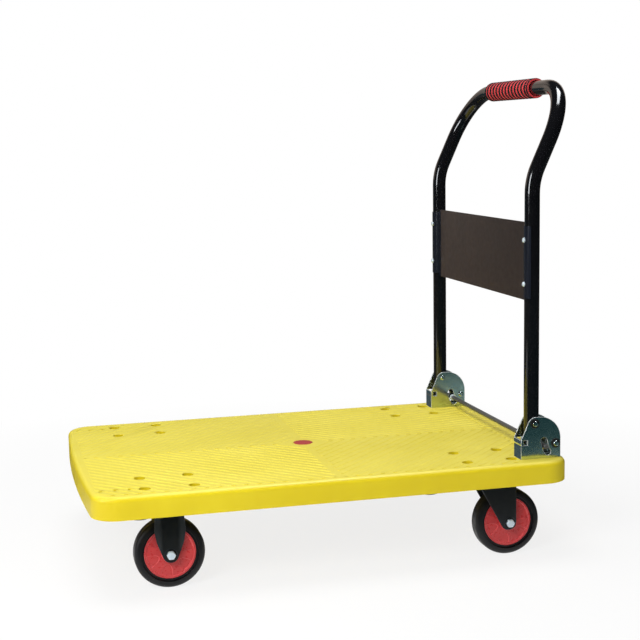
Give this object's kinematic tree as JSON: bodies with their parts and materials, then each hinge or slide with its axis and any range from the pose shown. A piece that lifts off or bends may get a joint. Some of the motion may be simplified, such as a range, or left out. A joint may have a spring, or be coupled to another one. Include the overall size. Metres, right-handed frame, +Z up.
{
  "type": "folding platform cart",
  "caption": "Flat-deck hand cart with a ribbed plastic deck, a tubular handle that folds down over it, a foot-operated lock rod, rigid casters at the front and swivel casters at the handle end.",
  "frame": {"origin": "on the floor, below the middle of the cart's length and width", "axes": "+X towards the handle end, +Y to the right of the person who pushes, +Z up"},
  "size_m": [0.9245, 0.6, 0.8965],
  "materials": {
    "deck_plastic": "moulded, satin",
    "disc_plastic": "gloss",
    "zinc": "bright zinc plate",
    "washer_black": "matt",
    "plain_steel": "oiled steel",
    "tube_paint": "gloss enamel",
    "panel_paint": "semi-gloss enamel",
    "grip_rubber": "soft foam rubber in black and red",
    "caster_black": "black enamel",
    "tyre_rubber": "smooth rubber",
    "hub_plastic": "moulded, satin"
  },
  "bodies": {
    "platform": {"deck": "deck_plastic", "centre_disc": "disc_plastic", "bracket_bolts": "zinc", "bracket_nuts": "zinc", "caster_bolts": "zinc", "caster_nuts": "zinc", "pivot_bolts": "zinc", "spring_bolts": "zinc", "hinge_washers": "washer_black", "hinge_nuts": "zinc", "spring_spacers": "plain_steel", "bracket_left": "zinc", "lock_spring_left": "plain_steel", "rigid_fork_left": "caster_black", "swivel_plate_left": "caster_black", "king_pin_left": "plain_steel", "axle_bolt_front_left": "zinc", "axle_nut_front_left": "zinc", "axle_sleeve_front_left": "plain_steel", "bracket_right": "zinc", "lock_spring_right": "plain_steel", "rigid_fork_right": "caster_black", "swivel_plate_right": "caster_black", "king_pin_right": "plain_steel", "axle_bolt_front_right": "zinc", "axle_nut_front_right": "zinc", "axle_sleeve_front_right": "plain_steel"},
    "handle": {"handle_tube": "tube_paint", "handle_panel": "panel_paint", "panel_screws": "zinc", "grip": "grip_rubber", "pivot_bushes": "plain_steel"},
    "lock": {"lock_rod": "zinc", "rod_collars": "zinc"},
    "swivel_left": {"swivel_fork_left": "caster_black", "swivel_race_left": "plain_steel", "axle_bolt_rear_left": "zinc", "axle_nut_rear_left": "zinc", "axle_sleeve_rear_left": "plain_steel"},
    "swivel_right": {"swivel_fork_right": "caster_black", "swivel_race_right": "plain_steel", "axle_bolt_rear_right": "zinc", "axle_nut_rear_right": "zinc", "axle_sleeve_rear_right": "plain_steel"},
    "wheel_front_left": {"tyre_front_left": "tyre_rubber", "hub_front_left": "hub_plastic"},
    "wheel_front_right": {"tyre_front_right": "tyre_rubber", "hub_front_right": "hub_plastic"},
    "wheel_rear_left": {"tyre_rear_left": "tyre_rubber", "hub_rear_left": "hub_plastic"},
    "wheel_rear_right": {"tyre_rear_right": "tyre_rubber", "hub_rear_right": "hub_plastic"}
  },
  "joints": [
    {"name": "handle_fold", "type": "hinge", "parent": "platform", "child": "handle", "pos_m": [0.36569, 0, 0.2575], "axis": [0, -1, 0], "range_deg": [0, 95]},
    {"name": "lock_slide", "type": "slide", "parent": "platform", "child": "lock", "axis": [-0.3338, 0, 0.9426], "range_m": [-0.01008, 0.01273], "stiffness_N_per_m": 600, "springref_m": 0.00424, "deforming": ["lock_spring_left", "lock_spring_right"]},
    {"name": "swivel_left_turn", "type": "hinge", "parent": "platform", "child": "swivel_left", "pos_m": [0.28169, -0.217, 0.1385], "axis": [0, 0, 1], "continuous": true},
    {"name": "swivel_right_turn", "type": "hinge", "parent": "platform", "child": "swivel_right", "pos_m": [0.28169, 0.217, 0.1385], "axis": [0, 0, 1], "continuous": true},
    {"name": "wheel_front_left_spin", "type": "hinge", "parent": "platform", "child": "wheel_front_left", "pos_m": [-0.31431, -0.217, 0.0635], "axis": [0, 1, 0], "continuous": true},
    {"name": "wheel_front_right_spin", "type": "hinge", "parent": "platform", "child": "wheel_front_right", "pos_m": [-0.31431, 0.217, 0.0635], "axis": [0, 1, 0], "continuous": true},
    {"name": "wheel_rear_left_spin", "type": "hinge", "parent": "swivel_left", "child": "wheel_rear_left", "pos_m": [0.32769, -0.217, 0.0635], "axis": [0, 1, 0], "continuous": true},
    {"name": "wheel_rear_right_spin", "type": "hinge", "parent": "swivel_right", "child": "wheel_rear_right", "pos_m": [0.32769, 0.217, 0.0635], "axis": [0, 1, 0], "continuous": true}
  ]
}
